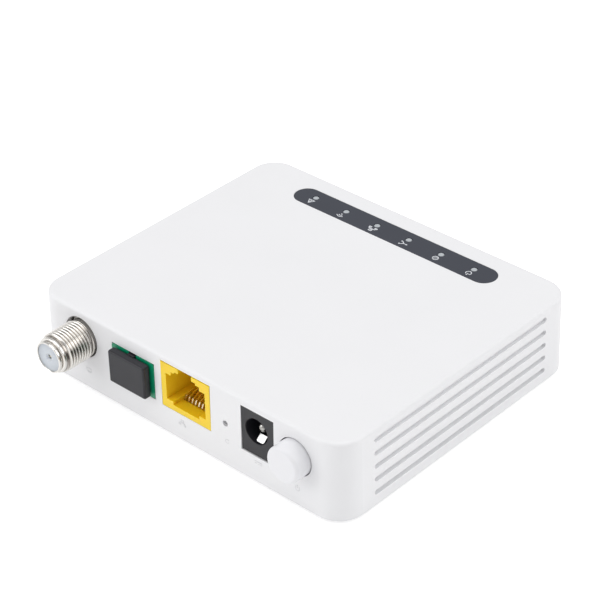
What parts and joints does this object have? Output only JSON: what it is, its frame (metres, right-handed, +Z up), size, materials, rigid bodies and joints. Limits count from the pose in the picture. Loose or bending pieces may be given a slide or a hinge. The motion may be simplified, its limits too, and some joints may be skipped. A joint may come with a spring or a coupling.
{
  "type": "optical network terminal",
  "caption": "Small flat white fibre terminal with coaxial, fibre, Ethernet and DC power connectors and a round push button on one side, side vents and an indicator strip on top.",
  "frame": {"origin": "under the middle of the whole object, on the plane the feet stand on", "axes": "+Z up, -Y out of the connector panel, +Y towards the indicator side, +X to the right seen from the connector side"},
  "size_m": [0.092, 0.0884, 0.0208],
  "materials": {
    "case_white": "fine satin moulded ABS",
    "button_white": "smooth moulded plastic",
    "overlay_dark": "dark printed film",
    "light_pipe_clear": "clear acrylic",
    "foot_rubber": "soft matte",
    "screw_steel": "zinc plated",
    "label_paper": "blank sticker",
    "board_green": "solder mask",
    "connector_nickel": "nickel plated",
    "insulator_white": "moulded dielectric",
    "contact_gold": "gold plated",
    "port_green": "moulded plastic",
    "latch_white": "moulded plastic",
    "sleeve_ceramic": "polished zirconia",
    "module_metal": "plated metal",
    "can_gold": "gold plated cans",
    "cap_black": "soft moulded plastic",
    "jack_yellow": "moulded plastic",
    "jack_dark": "moulded plastic",
    "spring_steel": "tin plated",
    "switch_black": "moulded plastic",
    "plunger_white": "moulded plastic",
    "chip_black": "moulded package",
    "sink_aluminium": "extruded",
    "pad_grey": "soft pad",
    "shield_tin": "tin plated sheet",
    "ferrite_dark": "sintered ferrite",
    "capacitor_can": "bright can",
    "chip_part_tan": "ceramic chips"
  },
  "bodies": {
    "case": {"top_cover": "case_white", "bottom_cover": "case_white", "rubber_feet": "foot_rubber", "case_screws": "screw_steel", "board_screws": "screw_steel", "rating_label": "label_paper", "indicator_overlay": "overlay_dark", "light_pipe": "light_pipe_clear", "indicator_leds": "light_pipe_clear", "main_board": "board_green", "f_connector_body": "connector_nickel", "f_insulator": "insulator_white", "f_center_contact": "contact_gold", "optical_port_housing": "port_green", "optical_latch_insert": "latch_white", "alignment_sleeve": "sleeve_ceramic", "optical_module_body": "module_metal", "laser_can": "can_gold", "detector_cans": "can_gold", "optical_leads": "contact_gold", "lan_jack_housing": "jack_yellow", "lan_jack_contacts": "contact_gold", "lan_transformer": "chip_black", "transformer_leads": "spring_steel", "dc_jack_housing": "jack_dark", "dc_jack_pin": "connector_nickel", "dc_jack_spring": "spring_steel", "dc_jack_switch_terminal": "spring_steel", "power_switch_body": "switch_black", "power_switch_terminals": "spring_steel", "power_switch_spring": "spring_steel", "reset_switch_body": "switch_black", "reset_switch_frame": "spring_steel", "main_chip": "chip_black", "thermal_pad": "pad_grey", "heat_sink": "sink_aluminium", "memory_chips": "chip_black", "rf_shield_frame": "shield_tin", "rf_shield_lid": "shield_tin", "rf_amplifier": "chip_black", "power_inductors": "ferrite_dark", "filter_capacitors": "capacitor_can", "voltage_regulators": "chip_black", "crystal_can": "shield_tin", "chip_parts": "chip_part_tan"},
    "power_button_body": {"power_button": "button_white", "power_switch_plunger": "plunger_white"},
    "reset_pin": {"reset_plunger": "plunger_white"},
    "fibre_cap": {"dust_cap": "cap_black"}
  },
  "joints": [
    {"name": "power_press", "type": "slide", "parent": "case", "child": "power_button_body", "axis": [0, 1, 0], "range_m": [0, 0.0025], "stiffness_N_per_m": 600, "springref_m": -0.0005, "deforming": ["power_switch_spring"]},
    {"name": "reset_press", "type": "slide", "parent": "case", "child": "reset_pin", "axis": [0, 1, 0], "range_m": [0, 0.00025], "stiffness_N_per_m": 1000, "springref_m": -0.0005},
    {"name": "cap_pull", "type": "slide", "parent": "case", "child": "fibre_cap", "axis": [0, -1, 0], "range_m": [0, 0.03]}
  ]
}
